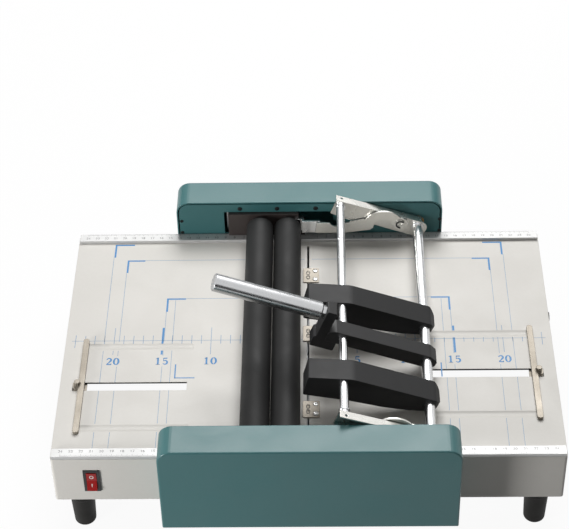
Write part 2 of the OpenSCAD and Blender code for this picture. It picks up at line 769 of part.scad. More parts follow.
// Rod with a stepped end in each bracket, a collar beside it, and two ring grooves that
// hold the sliding stapler at the rear anvil
module stapler_rod() color(bright) on_frame() difference() {
    union() {
        bar_y(-rod_pitch, 0, stapler_rod_d, -web_y, web_y);
        bar_y(-rod_pitch, 0, rod_end_d, -web_out - 1.2, web_out + 1.2);
        for (s = [0, 1]) mirror([0, s, 0])
            bar_y(-rod_pitch, 0, stapler_rod_d + 2, link_y - 2, link_y - 0.5);
    }
    for (y = [rear_station_y - stapler_w / 2 - 17, rear_station_y - 1.3]) difference() {
        bar_y(-rod_pitch, 0, stapler_rod_d + 2, y - 0.5, y + 0.5);
        bar_y(-rod_pitch, 0, stapler_rod_d - 0.8, y - eps, y + eps);
    }
}

// Side bracket of the frame at the back: web, outward flange and the riveted link pin
module bracket() color(bright) on_frame() {
    difference() {
        union() {
            along_y(web_y, web_out) polygon(rounded(
                [[frame_right, web_top], [flange_right, web_top], [frame_left, web_top_left],
                 [frame_left, leg_low], [-rod_pitch + 12.4, -16], [-rod_pitch + 19, -15.6],
                 [-rod_pitch + 29.4, -9.6], [-rod_pitch + 43.4, web_low], [frame_right, web_low]],
                [8, 0, 0, 1.5, 0, 4, 12, 12, 10]));
            along_y(web_y, flange_out) polygon(
                [[frame_left, web_top_left - flange_t], [flange_right, web_top - flange_t],
                 [flange_right, web_top], [frame_left, web_top_left]]);
        }
        bar_y(0, 0, pivot_rod_d, web_y - eps, web_out + eps);
        bar_y(-rod_pitch, 0, rod_end_d, web_y - eps, web_out + eps);
        translate([-rod_pitch + 0.1, (web_out + flange_out) / 2, 0]) cylinder(d = 3, h = web_top + eps);
    }
    difference() {
        union() {
            bar_y(-crank_r, 0, link_pin_d, link_y - 1.1, web_y);
            bar_y(-crank_r, 0, link_pin_d + 3, link_y - 1.1, link_y - 0.2);
            bar_y(-crank_r, 0, link_pin_d + 3, link_out + 0.2, web_y);
        }
        bar_y(-crank_r, 0, link_pin_d - 1.6, link_y - 1.1 - eps, link_y + 1.9);
    }
}

module bracket_front() at_front() bracket();
module bracket_rear() bracket();

// Arm on both rods that carries the handle
module handle_arm() color(black) on_frame() difference() {
    along_y(arm_y - arm_w / 2, arm_y + arm_w / 2) polygon(rounded(
        [[arm_end, 4], [arm_end + arm_step, arm_top - 0.5], [2, arm_top], [arm_nose, 3], [arm_nose, -4],
         [3, arm_low], [arm_end, arm_low]],
        [2, 5, 6, 3, 4, 4, 1]));
    bar_y(0, 0, pivot_rod_d + 2 * run, arm_y - arm_w, arm_y + arm_w);
    bar_y(-rod_pitch, 0, stapler_rod_d + 2 * run, arm_y - arm_w, arm_y + arm_w);
}

// Folded plate at the arm's end: the upright takes the handle, the foot meets the paper
module handle_bracket() color(black) on_frame() difference() {
    along_y(arm_y - arm_w / 2 + 0.5, arm_y + arm_w / 2 - 0.5) polygon(rounded(
        [[upright_left, upright_top], [arm_end, upright_top], [arm_end, arm_low - 0.3],
         [foot_right, arm_low - 0.3], [foot_right, foot_low], [upright_left - 2, foot_low],
         [upright_left - 2, -7], [upright_left, -5]],
        [1, 1, 0, 1, 1.5, 1.5, 0.5, 0.5]));
    translate([upright_left - eps, arm_y, handle_w]) rotate([0, 90, 0])
        cylinder(d = stud_d, h = upright_t + 2 * eps);
}

// Hexagon nut and the threaded stud that it locks in the bracket
module handle_nut() color(bright) on_frame() translate([arm_end, arm_y, handle_w]) rotate([0, -90, 0]) {
    translate([0, 0, upright_t]) cylinder(d = nut_across, h = nut_h, $fn = 6);
    cylinder(d = stud_d, h = upright_t);
}

// Handle tube, plugged at its end
module handle_tube() color(bright) on_frame()
    translate([upright_left - nut_h, arm_y, handle_w]) rotate([0, -90, 0]) rotate_extrude() polygon(
        [[0, 0], [handle_d / 2 - 1.5, 0], [handle_d / 2, 1.5], [handle_d / 2, handle_len - 1],
         [handle_d / 2 - 1, handle_len], [0, handle_len]]);

// Staplers: a moulded body round both rods, hollow below its head for the magazine

function stapler_side() = rounded(
    [[-rod_pitch + 6.4, stapler_top], [4, stapler_top + 0.5], [11, 3], [11, -3.5], [-6, -9.5], [-18, -13],
     [-43, -17.5], [-76, -20.5], [head_x + 3, nose_low], [head_x, head_top]],
    [25, 5, 3, 3, 8, 8, 10, 10, 1.5, 1.5]);

module stapler(y) color(black) on_frame() difference() {
    intersection() {
        along_y(y - stapler_w / 2, y + stapler_w / 2) polygon(stapler_side());
        translate([0, 0, -50]) linear_extrude(100) polygon(rounded(
            box_points(head_x - 1, 11, y - stapler_w / 2, y + stapler_w / 2), [2.5, 9, 9, 2.5], 8));
    }
    bar_y(0, 0, pivot_rod_d + 2 * run, y - stapler_w, y + stapler_w);
    bar_y(-rod_pitch, 0, stapler_rod_d + 2 * run, y - stapler_w, y + stapler_w);
    slab(magazine_left - play, magazine_right + play, y - magazine_w / 2 - play, y + magazine_w / 2 + play,
         nose_low - 10, magazine_top + 3.7);
}

// Staple magazine, which springs up into the body as the nose meets the paper
module magazine(y) color(steel) on_frame() along_y(y - magazine_w / 2, y + magazine_w / 2) polygon(
    [[magazine_left, magazine_top], [magazine_left, magazine_low], [magazine_left + 4, magazine_low],
     [magazine_bend, magazine_bend_low], [magazine_right, magazine_heel], [magazine_right, magazine_top]]);

module stapler_front() stapler(front_station_y);
module magazine_front() magazine(front_station_y);
module stapler_rear() stapler(middle_station_y);
module magazine_rear() magazine(middle_station_y);

// Pull link at the back, arched to pass over the pivot rod as the frame flips, with a
// notch for the stapler rod as the frame is pressed down
module link() color(bright) on_deck() difference() {
    along_y(link_y, link_out) {
        translate(link_pin) circle(d = arch_out - arch_in + 4);
        polygon([[link_left - 1.5, link_low], [arch_x - link_bend, link_low],
                 [arch_x - link_rise, link_low + 4], [arch_x - arch_in, arch_z + 2],
                 [arch_x - arch_in - 5, arch_z + 10], [arch_x - arch_out + 1.5, link_top + 4.7],
                 [arch_x - link_bend, link_top], [link_left, link_top]]);
        difference() {
            translate([arch_x, arch_z]) circle(r = arch_out);
            translate([arch_x, arch_z]) circle(r = arch_in);
            translate([arch_x - 2 * arch_out, arch_z - 2 * arch_out]) square([4 * arch_out, 2 * arch_out]);
        }
    }
    bar_y(link_pin.x, link_pin.y, link_pin_d + 2 * run, link_y - eps, link_out + eps);
    bar_y(notch_x, link_top + 3.5, 2 * notch_r, link_y - eps, link_out + eps);
}

module link_front() at_front() link();
module link_rear() link();

// Paper stops: a bar with tabs in its grooves, on a shoe that runs in the slot, and a pad
// with a pocket in the bar for the screw

module stop_bar(y) color([0.70, 0.66, 0.58]) on_deck() translate([-stop_rest_x, y, 0]) {
    translate([0, 0, stop_gap]) difference() {
        linear_extrude(bar_top - stop_gap)
            polygon(rounded(box_points(1, 7, -stop_len / 2, stop_len / 2), [2.9, 2.9, 2.9, 2.9]));
        translate([0, 0, pad_top - stop_gap]) cylinder(d = knob_d + 1 + 2 * play, h = bar_top);
    }
    translate([0, 0, stop_gap]) linear_extrude(pad_top - stop_gap)
        polygon(rounded(box_points(-knob_d / 2 - 1.5, 3, -4.5, 4.5), [2.5, 0, 0, 2.5]));
    for (s = [-1, 1]) slab(4, 6.5, s * groove_reach - 1.25, s * groove_reach + 1.25, -0.6, 1);
    slab(-3.5, 4, -5.4, 5.4, -top_t - stop_gap, 1);
    slab(-4.5, 9, -9, 9, -top_t - stop_gap - 2.1, -top_t - stop_gap);
}

module stop_knob(y) color(bright) on_deck() translate([-stop_rest_x, y, pad_top]) difference() {
    union() {
        cylinder(d = knob_d + 1, h = 1);
        cylinder(d = knob_d, h = 5.5);
    }
    for (a = [0:45:315]) rotate([0, 0, a]) translate([knob_d / 2 + 0.5, 0, 1]) cylinder(d = 1.8, h = 6);
}

module stop_bar_left() stop_bar(left_stop_y);
module stop_knob_left() stop_knob(left_stop_y);
module stop_bar_right() mirror([1, 0, 0]) stop_bar(right_stop_y);
module stop_knob_right() mirror([1, 0, 0]) stop_knob(right_stop_y);

table_pan();
base_plate();
foot_front_left();
foot_front_right();
foot_rear_left();
foot_rear_right();
side_plate_front();
side_plate_rear();
cover_front();
cover_rear();
ruler_front();
ruler_rear();
anvil_front();
anvil_middle();
anvil_rear();
guide_rail_front();
guide_rail_rear();
pivot_bush_front();
pivot_bush_rear();
switch_housing();
cord_inlet();
slide_block_front();
slide_block_rear();
carriage_plate_front();
carriage_plate_rear();
carriage_tie();
link_lug_front();
link_lug_rear();
gear_motor();
roller_left_sleeve();
roller_left_shaft();
roller_left_gear();
roller_right_sleeve();
roller_right_shaft();
roller_right_gear();
idler_gear();
motor_pinion();
fold_blade();
blade_carrier();
pivot_rod();
stapler_rod();
bracket_front();
bracket_rear();
handle_arm();
handle_bracket();
handle_nut();
handle_tube();
stapler_front();
magazine_front();
link_front();
link_rear();
stapler_rear();
magazine_rear();
stop_bar_left();
stop_knob_left();
stop_bar_right();
stop_knob_right();
switch_rocker();
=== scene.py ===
import math

import bmesh
import bpy
from mathutils import Matrix, Vector


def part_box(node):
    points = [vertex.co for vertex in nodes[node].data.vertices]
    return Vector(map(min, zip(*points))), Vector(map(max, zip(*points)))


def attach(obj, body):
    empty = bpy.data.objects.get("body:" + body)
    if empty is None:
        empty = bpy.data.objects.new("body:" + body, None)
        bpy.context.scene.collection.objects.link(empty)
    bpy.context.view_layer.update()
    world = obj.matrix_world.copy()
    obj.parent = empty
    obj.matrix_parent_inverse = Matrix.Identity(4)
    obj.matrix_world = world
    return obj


mm = 0.001

# place, aim and lens as fitted to the scale that is printed on the table
cameraFit = {"place": (0.015663, -1.370821, 1.445539), "yaw": -0.027676, "pitch": 0.732878,
             "roll": -0.026898, "lens": 117.636, "sensor": 36, "nearest": 0.05, "farthest": 50}


def addCamera():
    yaw, pitch, roll = cameraFit["yaw"], cameraFit["pitch"], cameraFit["roll"]
    ahead = Vector((math.sin(yaw) * math.cos(pitch), math.cos(yaw) * math.cos(pitch), -math.sin(pitch)))
    right = Vector((math.cos(yaw), -math.sin(yaw), 0))
    above = right.cross(ahead)
    across = math.cos(roll) * right + math.sin(roll) * above
    upwards = -math.sin(roll) * right + math.cos(roll) * above
    data = bpy.data.cameras.new("photoCamera")
    data.lens, data.sensor_width = cameraFit["lens"], cameraFit["sensor"]
    data.clip_start, data.clip_end = cameraFit["nearest"], cameraFit["farthest"]
    thing = bpy.data.objects.new("photoCamera", data)
    thing.matrix_world = Matrix.Translation(cameraFit["place"]) @ Matrix(
        (across, upwards, -ahead)).transposed().to_4x4()
    bpy.context.scene.collection.objects.link(thing)
    bpy.context.scene.camera = thing


bpy.context.scene.view_settings.view_transform = "Standard"
addCamera()
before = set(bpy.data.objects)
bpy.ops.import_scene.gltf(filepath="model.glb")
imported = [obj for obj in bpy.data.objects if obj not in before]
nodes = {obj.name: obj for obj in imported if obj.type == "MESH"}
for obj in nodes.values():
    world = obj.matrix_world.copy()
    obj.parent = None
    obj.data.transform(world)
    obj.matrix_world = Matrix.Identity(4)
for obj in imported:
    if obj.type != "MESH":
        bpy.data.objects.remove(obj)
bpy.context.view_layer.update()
print("frame loaded,", len(nodes), "nodes")

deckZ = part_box("table_pan")[1].z          # the table's top surface
staplingFrame = {"pivotX": 118.5, "pivotOverDeck": 18.5, "open": 21}
tilt = math.radians(staplingFrame["open"])
pivot = Vector((staplingFrame["pivotX"] * mm, 0, deckZ + staplingFrame["pivotOverDeck"] * mm))


def onDeck(x, y, z):
    return Vector((x * mm, y * mm, deckZ + z * mm))


# a point of the stapling frame: along it from the pivot, and over its rods
def onFrame(along, y, over):
    return Vector((pivot.x + (along * math.cos(tilt) + over * math.sin(tilt)) * mm, y * mm,
                   pivot.z + (over * math.cos(tilt) - along * math.sin(tilt)) * mm))


# shader node groups

def newGroup(name, takes, gives):
    tree = bpy.data.node_groups.new(name, "ShaderNodeTree")
    for label, kind, value in takes:
        tree.interface.new_socket(label, in_out="INPUT", socket_type=kind).default_value = value
    for label, kind in gives:
        tree.interface.new_socket(label, in_out="OUTPUT", socket_type=kind)
    return tree, tree.nodes.new("NodeGroupInput").outputs, tree.nodes.new("NodeGroupOutput").inputs


# n0, n1 and so on are sockets by their place, other words are sockets by their name
def addNode(tree, kind, settings=(), **sockets):
    made = tree.nodes.new("ShaderNode" + kind)
    for key, value in dict(settings).items():
        setattr(made, key, value)
    for key, value in sockets.items():
        numbered = key[0] == "n" and key[1:].isdigit()
        socket = made.inputs[int(key[1:]) if numbered else key.replace("_", " ")]
        if isinstance(value, bpy.types.NodeSocket):
            tree.links.new(value, socket)
        else:
            socket.default_value = value
    return made


floatKind, colorKind, vectorKind = "NodeSocketFloat", "NodeSocketColor", "NodeSocketVector"


# soft edges, and a grain that can be stretched into brush lines
def reliefGroup():
    tree, given, out = newGroup("relief", [
        ("Edge Radius", floatKind, 0.0004), ("Grain Scale", floatKind, 900.0),
        ("Grain Height", floatKind, 0.02), ("Stretch", vectorKind, (1.0, 1.0, 1.0))],
        [("Normal", vectorKind)])
    place = addNode(tree, "TexCoord").outputs["Object"]
    drawn = addNode(tree, "VectorMath", {"operation": "MULTIPLY"}, n0=place,
                    n1=given["Stretch"]).outputs[0]
    grain = addNode(tree, "TexNoise", Vector=drawn, Scale=given["Grain Scale"], Detail=3.0,
                    Roughness=0.6).outputs[0]
    edge = addNode(tree, "Bevel", {"samples": 6}, Radius=given["Edge Radius"]).outputs[0]
    bump = addNode(tree, "Bump", Strength=1.0, Distance=given["Grain Height"], Height=grain, Normal=edge)
    tree.links.new(bump.outputs[0], out["Normal"])
    return tree


# two tones in soft patches, with a finer mottle over them
def toneGroup():
    tree, given, out = newGroup("tone", [
        ("Color", colorKind, (0.5, 0.5, 0.5, 1)), ("Shade", colorKind, (0.4, 0.4, 0.4, 1)),
        ("Patch Scale", floatKind, 9.0), ("Mottle Scale", floatKind, 260.0), ("Amount", floatKind, 0.5)],
        [("Color", colorKind)])
    place = addNode(tree, "TexCoord").outputs["Object"]
    patch = addNode(tree, "TexNoise", Vector=place, Scale=given["Patch Scale"], Detail=2.0).outputs[0]
    mottle = addNode(tree, "TexNoise", Vector=place, Scale=given["Mottle Scale"], Detail=4.0,
                     Roughness=0.7).outputs[0]
    both = addNode(tree, "Math", {"operation": "MULTIPLY_ADD"}, n0=patch, n1=0.65, n2=addNode(
        tree, "Math", {"operation": "MULTIPLY"}, n0=mottle, n1=0.35).outputs[0]).outputs[0]
    mask = addNode(tree, "MapRange", n0=both, n1=0.38, n2=0.62).outputs[0]
    share = addNode(tree, "Math", {"operation": "MULTIPLY"}, n0=mask, n1=given["Amount"]).outputs[0]
    mixed = addNode(tree, "Mix", {"data_type": "RGBA"}, n0=share, n6=given["Color"], n7=given["Shade"])
    tree.links.new(mixed.outputs[2], out["Color"])
    return tree


# handling marks: where the surface is a little duller or shinier
def smudgeGroup():
    tree, given, out = newGroup("smudge", [
        ("Low", floatKind, 0.3), ("High", floatKind, 0.5), ("Scale", floatKind, 25.0)],
        [("Roughness", floatKind)])
    place = addNode(tree, "TexCoord").outputs["Object"]
    cloud = addNode(tree, "TexNoise", Vector=place, Scale=given["Scale"], Detail=5.0,
                    Distortion=0.6).outputs[0]
    spread = addNode(tree, "MapRange", n0=cloud, n1=0.35, n2=0.65, n3=given["Low"], n4=given["High"])
    tree.links.new(spread.outputs[0], out["Roughness"])
    return tree


# a lighter colour along the edges, in broken spots: partly edges rubbed by use, partly a painted highlight
# of light catching the edges
def wearGroup():
    tree, given, out = newGroup("edgeWearAndGlint", [
        ("Color", colorKind, (0.5, 0.5, 0.5, 1)), ("Bare Color", colorKind, (0.6, 0.6, 0.6, 1)),
        ("Width", floatKind, 0.0008), ("Amount", floatKind, 0.5)],
        [("Color", colorKind)])
    soft = addNode(tree, "Bevel", {"samples": 6}, Radius=given["Width"]).outputs[0]
    plain = addNode(tree, "NewGeometry").outputs["Normal"]
    turned = addNode(tree, "VectorMath", {"operation": "DOT_PRODUCT"}, n0=soft, n1=plain).outputs["Value"]
    place = addNode(tree, "TexCoord").outputs["Object"]
    spots = addNode(tree, "TexNoise", Vector=place, Scale=120.0, Detail=4.0).outputs[0]
    edge = addNode(tree, "MapRange", n0=turned, n1=0.99, n2=0.80, n3=0.0, n4=1.0).outputs[0]
    broken = addNode(tree, "MapRange", n0=spots, n1=0.45, n2=0.62).outputs[0]
    mask = addNode(tree, "Math", {"operation": "MULTIPLY"}, n0=edge, n1=broken).outputs[0]
    share = addNode(tree, "Math", {"operation": "MULTIPLY"}, n0=mask, n1=given["Amount"]).outputs[0]
    mixed = addNode(tree, "Mix", {"data_type": "RGBA"}, n0=share, n6=given["Color"],
                    n7=given["Bare Color"])
    tree.links.new(mixed.outputs[2], out["Color"])
    return tree


relief, tone, smudge, edgeWearAndGlint = reliefGroup(), toneGroup(), smudgeGroup(), wearGroup()


def linear(red, green, blue):
    parts = [c / 255 for c in (red, green, blue)]
    return [c / 12.92 if c <= 0.04045 else ((c + 0.055) / 1.055) ** 2.4 for c in parts] + [1]


def useGroup(tree, group, **sockets):
    made = tree.nodes.new("ShaderNodeGroup")
    made.node_tree = group
    for key, value in sockets.items():
        socket = made.inputs[key.replace("_", " ")]
        if isinstance(value, bpy.types.NodeSocket):
            tree.links.new(value, socket)
        else:
            socket.default_value = value
    return made.outputs


def newFinish(name, look):
    material = bpy.data.materials.new(name)
    material.use_nodes = True
    tree = material.node_tree
    shader = tree.nodes["Principled BSDF"]
    shader.inputs["Metallic"].default_value = look.get("metallic", 0.0)
    if "specular" in look:
        shader.inputs["Specular IOR Level"].default_value = look["specular"]
    shown = useGroup(tree, tone, Color=linear(*look["color"]), Shade=linear(*look["shade"]),
                     Patch_Scale=look.get("patchScale", 9.0),
                     Mottle_Scale=look.get("mottleScale", 260.0))["Color"]
    # lighter edges, partly rubbed by use and partly a painted highlight
    if "bareAndGlint" in look:
        shown = useGroup(tree, edgeWearAndGlint, Color=shown, Bare_Color=linear(*look["bareAndGlint"]),
                         Width=look.get("wearAndGlintWidth", 0.8) * mm, Amount=look.get("wearAndGlint", 0.5))["Color"]
    tree.links.new(shown, shader.inputs["Base Color"])
    low, high = look["roughness"]
    dulled = useGroup(tree, smudge, Low=low, High=high)
    tree.links.new(dulled["Roughness"], shader.inputs["Roughness"])
    lifted = useGroup(tree, relief, Edge_Radius=look.get("edge", 0.4) * mm,
                      Grain_Scale=look.get("grainScale", 900.0), Grain_Height=look.get("grain", 0.02) * mm,
                      Stretch=look.get("stretch", (1.0, 1.0, 1.0)))
    tree.links.new(lifted["Normal"], shader.inputs["Normal"])
    return material


# colours are as a photo shows them, edge and grain are in mm
finishes = {
    "tablePowderCoat": {"color": (226, 223, 217), "shade": (218, 215, 208), "roughness": (0.42, 0.52),
                        "edge": 0.6, "grainScale": 700.0, "grain": 0.012, "patchScale": 4.0},
    "coverEnamel": {"color": (63, 116, 118), "shade": (58, 110, 112), "roughness": (0.32, 0.40),
                    "edge": 0.9, "grainScale": 450.0, "grain": 0.010, "specular": 0.5},
    "plateEnamel": {"color": (60, 108, 110), "shade": (54, 100, 102), "roughness": (0.40, 0.50),
                    "edge": 0.4, "grainScale": 450.0, "grain": 0.008, "specular": 0.35},
    "rulerAluminium": {"color": (204, 204, 203), "shade": (194, 194, 193), "roughness": (0.36, 0.46),
                       "metallic": 0.3, "specular": 0.3, "edge": 0.3, "grainScale": 300.0,
                       "grain": 0.004, "stretch": (0.04, 1.0, 1.0)},
    "footRubber": {"color": (30, 29, 27), "shade": (23, 22, 21), "roughness": (0.55, 0.7), "edge": 0.8,
                   "grainScale": 1200.0, "grain": 0.02, "specular": 0.22},
    "anvilNickel": {"color": (150, 143, 132), "shade": (128, 121, 110), "roughness": (0.36, 0.48),
                    "metallic": 0.5, "edge": 0.3, "grainScale": 900.0, "grain": 0.006,
                    "stretch": (1.0, 0.08, 1.0)},
    "zincSteel": {"color": (196, 198, 200), "shade": (168, 172, 178), "roughness": (0.30, 0.45),
                  "metallic": 0.95, "edge": 0.35, "grainScale": 500.0, "grain": 0.006,
                  "stretch": (0.1, 1.0, 1.0)},
    "turnedBronze": {"color": (190, 152, 100), "shade": (160, 122, 76), "roughness": (0.3, 0.42),
                     "metallic": 0.9, "edge": 0.3, "grainScale": 700.0, "grain": 0.006},
    "switchPlastic": {"color": (26, 26, 27), "shade": (20, 20, 21), "roughness": (0.35, 0.45),
                      "edge": 0.4, "grainScale": 1500.0, "grain": 0.008},
    "rockerRed": {"color": (164, 10, 8), "shade": (142, 6, 5), "roughness": (0.2, 0.3), "edge": 0.6,
                  "grainScale": 700.0, "grain": 0.002, "specular": 0.3},
    "blockPlastic": {"color": (58, 50, 48), "shade": (48, 42, 40), "roughness": (0.42, 0.55),
                     "edge": 0.6, "grainScale": 1100.0, "grain": 0.01},
    "motorPaint": {"color": (70, 70, 72), "shade": (58, 58, 60), "roughness": (0.35, 0.5), "edge": 0.8,
                   "grainScale": 600.0, "grain": 0.008},
    "rollerRubber": {"color": (38, 38, 38), "shade": (31, 31, 31), "roughness": (0.5, 0.62), "edge": 0.9,
                     "grainScale": 900.0, "grain": 0.02, "stretch": (1.0, 0.35, 1.0), "patchScale": 7.0,
                     "specular": 0.22},
    "gearNylon": {"color": (222, 216, 200), "shade": (208, 200, 182), "roughness": (0.35, 0.5),
                  "edge": 0.3, "grainScale": 900.0, "grain": 0.006},
    "brightChrome": {"color": (222, 223, 224), "shade": (206, 207, 209), "roughness": (0.2, 0.28),
                     "metallic": 1.0, "edge": 0.3, "grainScale": 260.0, "grain": 0.002,
                     "stretch": (1.0, 0.05, 1.0)},
    "handleChrome": {"color": (198, 199, 200), "shade": (182, 183, 185), "roughness": (0.22, 0.3),
                     "metallic": 1.0, "edge": 0.3, "grainScale": 260.0, "grain": 0.002,
                     "stretch": (0.05, 1.0, 1.0)},
    "plateChrome": {"color": (214, 213, 208), "shade": (196, 195, 190), "roughness": (0.20, 0.32),
                    "metallic": 0.9, "edge": 0.4, "grainScale": 320.0, "grain": 0.004,
                    "stretch": (0.1, 1.0, 1.0)},
    # its lighter edge colour is partly rubbing, partly a painted edge highlight
    "armEnamel": {"color": (22, 22, 23), "shade": (16, 16, 17), "roughness": (0.36, 0.46), "edge": 0.9,
                  "specular": 0.35, "grainScale": 500.0, "grain": 0.02, "bareAndGlint": (96, 92, 88),
                  "wearAndGlint": 0.25},
    # its lighter edge colour is partly scuffing, partly a painted edge highlight
    "staplerPlastic": {"color": (23, 23, 24), "shade": (18, 18, 19), "roughness": (0.44, 0.52),
                       "edge": 0.9, "grainScale": 1600.0, "grain": 0.012, "specular": 0.26,
                       "bareAndGlint": (84, 84, 84), "wearAndGlint": 0.3, "wearAndGlintWidth": 0.6},
    "screwZinc": {"color": (206, 206, 204), "shade": (176, 176, 174), "roughness": (0.22, 0.34),
                  "metallic": 0.9, "edge": 0.15, "grainScale": 900.0, "grain": 0.003},
    # black of the side screws, also worn by the painted shade marks below
    "screwBlackAndShade": {"color": (30, 34, 34), "shade": (22, 25, 25), "roughness": (0.36, 0.5),
                   "metallic": 0.4, "edge": 0.15, "grainScale": 900.0, "grain": 0.003},
    "stopNickel": {"color": (146, 139, 128), "shade": (114, 107, 96), "roughness": (0.36, 0.5),
                   "metallic": 0.55, "edge": 0.5, "grainScale": 380.0, "grain": 0.02,
                   "stretch": (1.0, 0.2, 1.0), "patchScale": 30.0},
}
made = {name: newFinish(name, look) for name, look in finishes.items()}
print("finishes made:", len(made))

wears = {
    "tablePowderCoat": "table_pan base_plate",
    "coverEnamel": "cover_front cover_rear",
    "plateEnamel": "side_plate_front side_plate_rear",
    "rulerAluminium": "ruler_front ruler_rear",
    "footRubber": "foot_front_left foot_front_right foot_rear_left foot_rear_right",
    "anvilNickel": "anvil_front anvil_middle anvil_rear magazine_front magazine_rear",
    "zincSteel": "guide_rail_front guide_rail_rear carriage_plate_front carriage_plate_rear carriage_tie "
                 "roller_left_shaft roller_left_gear roller_right_shaft roller_right_gear motor_pinion "
                 "fold_blade blade_carrier",
    "turnedBronze": "pivot_bush_front pivot_bush_rear",
    "switchPlastic": "switch_housing cord_inlet",
    "rockerRed": "switch_rocker",
    "blockPlastic": "slide_block_front slide_block_rear",
    "motorPaint": "gear_motor",
    "rollerRubber": "roller_left_sleeve roller_right_sleeve",
    "gearNylon": "idler_gear",
    "brightChrome": "pivot_rod stapler_rod link_lug_front link_lug_rear",
    "handleChrome": "handle_nut handle_tube",
    "plateChrome": "bracket_front bracket_rear link_front link_rear",
    "armEnamel": "handle_arm handle_bracket",
    "staplerPlastic": "stapler_front stapler_rear",
    "stopNickel": "stop_bar_left stop_bar_right stop_knob_left stop_knob_right",
}
for finish, names in wears.items():
    for name in names.split():
        nodes[name].data.materials.clear()
        nodes[name].data.materials.append(made[finish])
print("nodes dressed")


# mesh helpers

sharpAngle = math.radians(35)             # edges that turn further than this stay crisp


def newPiece(name, bm, finish, body):
    bmesh.ops.recalc_face_normals(bm, faces=bm.faces)
    for face in bm.faces:
        face.smooth = True
    for edge in bm.edges:
        if len(edge.link_faces) == 2 and edge.calc_face_angle(0) > sharpAngle:
            edge.smooth = False
    mesh = bpy.data.meshes.new(name)
    bm.to_mesh(mesh)
    bm.free()
    mesh.materials.append(made[finish])
    thing = bpy.data.objects.new(name, mesh)
    bpy.context.scene.collection.objects.link(thing)
    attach(thing, body)


# the two edges of a polyline of a steady or changing width, as pairs of points
def strokeEdges(points, widths):
    count = len(points)
    if not hasattr(widths, "__len__"):
        widths = [widths] * count
    pairs = []
    for i, point in enumerate(points):
        before, after = Vector(points[max(i - 1, 0)]), Vector(points[min(i + 1, count - 1)])
        run = (after - before).normalized()
        side = Vector((-run.y, run.x)) * widths[i] / 2
        here = Vector(point)
        pairs.append((here + side, here - side))
    return pairs


# flat ink, as quads on the surface
def addStroke(bm, points, widths, lift):
    rows = [[bm.verts.new(lift(spot)) for spot in pair] for pair in strokeEdges(points, widths)]
    for first, second in zip(rows, rows[1:]):
        bm.faces.new((first[0], second[0], second[1], first[1]))


# a bar through rings of four corners, closed at both ends
def addBar(bm, rings):
    rows = [[bm.verts.new(corner) for corner in ring] for ring in rings]
    for first, second in zip(rows, rows[1:]):
        for i in range(4):
            bm.faces.new((first[i - 1], first[i], second[i], second[i - 1]))
    bm.faces.new(rows[0])
    bm.faces.new(rows[-1])


def arcPoints(centre, radii, start, end, steps=14):
    return [(centre[0] + radii[0] * math.cos(math.radians(start + (end - start) * i / steps)),
             centre[1] + radii[1] * math.sin(math.radians(start + (end - start) * i / steps)))
            for i in range(steps + 1)]


# numerals with thick stems and thin serifs, in a box 6 wide and 10 high
boldNumerals = {
    "0": [(arcPoints((3, 5), (2.35, 4.5), 90, 450, 32),
           [0.9 + 1.2 * abs(math.sin(math.tau * i / 32)) for i in range(33)])],
    "1": [([(3.1, 10), (3.1, 0)], 1.9), ([(1.0, 0.35), (5.2, 0.35)], 0.7),
          ([(1.1, 8.3), (3.1, 9.6)], 0.8)],
    "2": [([(1.0, 7.4)] + arcPoints((3, 7.2), (2.1, 2.3), 160, -40) + [(3.2, 3.6), (0.9, 1.1)],
           [1.3] + [1.0 + 0.08 * i for i in range(15)] + [1.4, 0.8]), ([(0.7, 0.75), (5.5, 0.75)], 1.5),
          ([(5.4, 0.4), (5.4, 2.2)], 0.7)],
    "5": [([(1.3, 9.2), (5.2, 9.2)], 1.5), ([(1.5, 9.6), (1.3, 5.2)], 0.8),
          (arcPoints((2.9, 3.3), (2.3, 2.7), 135, -150, 18),
           [0.8 + 1.1 * math.sin(math.pi * i / 18) for i in range(19)])],
}

# plain numerals for the rulers, in a box 2 wide and 3 high
plainNumerals = {
    "0": [arcPoints((1, 1.5), (0.8, 1.4), 0, 360, 16)],
    "1": [[(0.4, 2.3), (1.1, 2.9), (1.1, 0)]],
    "2": [arcPoints((1, 2.1), (0.8, 0.8), 170, -30, 8) + [(0.2, 0.1), (1.9, 0.1)]],
    "3": [arcPoints((0.95, 2.2), (0.75, 0.7), 160, -90, 8),
          arcPoints((0.95, 0.8), (0.85, 0.75), 90, -160, 8)],
    "4": [[(1.4, 0), (1.4, 2.9), (0.15, 0.9), (1.9, 0.9)]],
    "5": [[(1.7, 2.9), (0.5, 2.9), (0.35, 1.7)] + arcPoints((0.95, 0.95), (0.85, 0.9), 120, -150, 9)],
    "6": [arcPoints((1, 0.9), (0.8, 0.85), 0, 360, 14), [(0.22, 1.1), (0.6, 2.2), (1.5, 2.9)]],
    "7": [[(0.2, 2.9), (1.8, 2.9), (0.8, 0)]],
    "8": [arcPoints((1, 2.2), (0.65, 0.7), 0, 360, 14), arcPoints((1, 0.8), (0.8, 0.78), 0, 360, 14)],
    "9": [arcPoints((1, 2.1), (0.8, 0.8), 0, 360, 14), [(1.78, 1.9), (1.4, 0.8), (0.6, 0)]],
}


def addInk(name, color):
    look = {"color": color, "shade": tuple(c * 0.93 for c in color), "roughness": (0.4, 0.5), "edge": 0.0,
            "grain": 0.0, "mottleScale": 900.0}
    made[name] = newFinish(name, look)


addInk("printBlue", (58, 136, 198))
addInk("printFine", (122, 160, 196))
addInk("printGrey", (70, 72, 74))
addInk("printWhite", (238, 236, 232))

